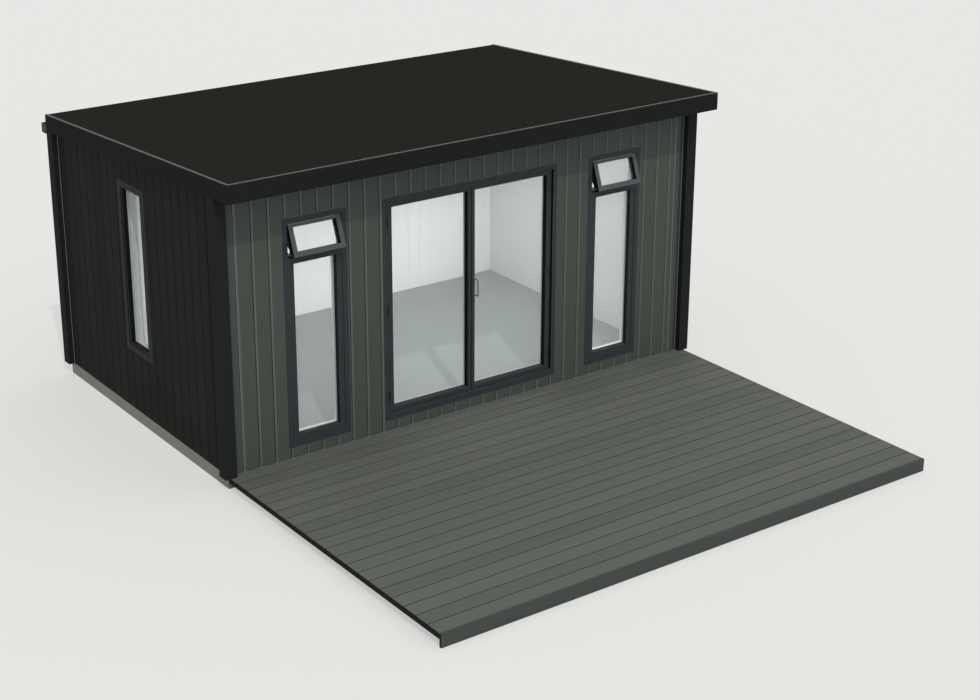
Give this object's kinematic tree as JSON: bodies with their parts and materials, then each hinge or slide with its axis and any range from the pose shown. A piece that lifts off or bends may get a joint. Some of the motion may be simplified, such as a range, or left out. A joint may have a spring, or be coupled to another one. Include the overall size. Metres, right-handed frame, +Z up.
{
  "type": "garden room",
  "caption": "Flat-roofed timber garden room with glazed double doors, tall windows with top-hung vents, a roof falling to a back gutter, and a deck of boards in front.",
  "frame": {"origin": "centre of the building's base slab, on the ground", "axes": "+Z up, +X to the right along the front, +Y from the deck towards the back wall"},
  "size_m": [5, 6.3105, 2.677],
  "materials": {
    "concrete": "rough cast concrete",
    "floor_laminate": "matt",
    "post_black": "satin",
    "cladding_grey": "stained boards, matt",
    "cladding_black": "stained boards, matt",
    "roof_membrane": "matt",
    "fascia_black": "satin",
    "trim_grey": "satin",
    "gutter_black": "satin",
    "frame_anthracite": "satin powder coat",
    "sash_grey": "satin powder coat",
    "glazing": "clear",
    "stay_steel": "brushed",
    "handle_steel": "brushed",
    "deck_board": "grained composite",
    "deck_edge": "grained composite",
    "deck_frame": "stained timber"
  },
  "bodies": {
    "building": {"base_slab": "concrete", "floor": "floor_laminate", "post_front_left": "post_black", "post_back_left": "post_black", "post_front_right": "post_black", "post_back_right": "post_black", "wall_front_left": "cladding_grey", "wall_front_right": "cladding_grey", "wall_front_over_door": "cladding_grey", "wall_front_under_door": "cladding_grey", "wall_left": "cladding_black", "wall_right": "cladding_black", "wall_back": "cladding_black", "roof_panel": "roof_membrane", "fascia_front": "fascia_black", "fascia_back": "fascia_black", "fascia_left": "fascia_black", "fascia_right": "fascia_black", "soffit_front": "fascia_black", "roof_trim": "trim_grey", "gutter_left": "gutter_black", "gutter_right": "gutter_black", "downpipe": "gutter_black", "door_frame": "frame_anthracite", "window_left_frame": "frame_anthracite", "window_left_glass": "glazing", "window_left_vent": "sash_grey", "window_left_vent_glass": "glazing", "window_left_stays": "stay_steel", "window_right_frame": "frame_anthracite", "window_right_glass": "glazing", "window_right_vent": "sash_grey", "window_right_vent_glass": "glazing", "window_right_stays": "stay_steel", "window_side_frame": "frame_anthracite", "window_side_glass": "glazing", "deck_boards": "deck_board", "deck_fascia": "deck_edge", "deck_joists": "deck_frame", "deck_bearers": "deck_frame"},
    "leaf_left": {"door_leaf_left": "frame_anthracite", "door_glass_left": "glazing"},
    "leaf_right": {"door_leaf_right": "frame_anthracite", "door_glass_right": "glazing", "door_handle": "handle_steel"}
  },
  "joints": [
    {"name": "door_left_hinge", "type": "hinge", "parent": "building", "child": "leaf_left", "pos_m": [-0.8685, -1.5395, 1.24], "axis": [0, 0, -1], "range_deg": [0, 90]},
    {"name": "door_right_hinge", "type": "hinge", "parent": "building", "child": "leaf_right", "pos_m": [0.8685, -1.5395, 1.24], "axis": [0, 0, 1], "range_deg": [0, 90]}
  ]
}
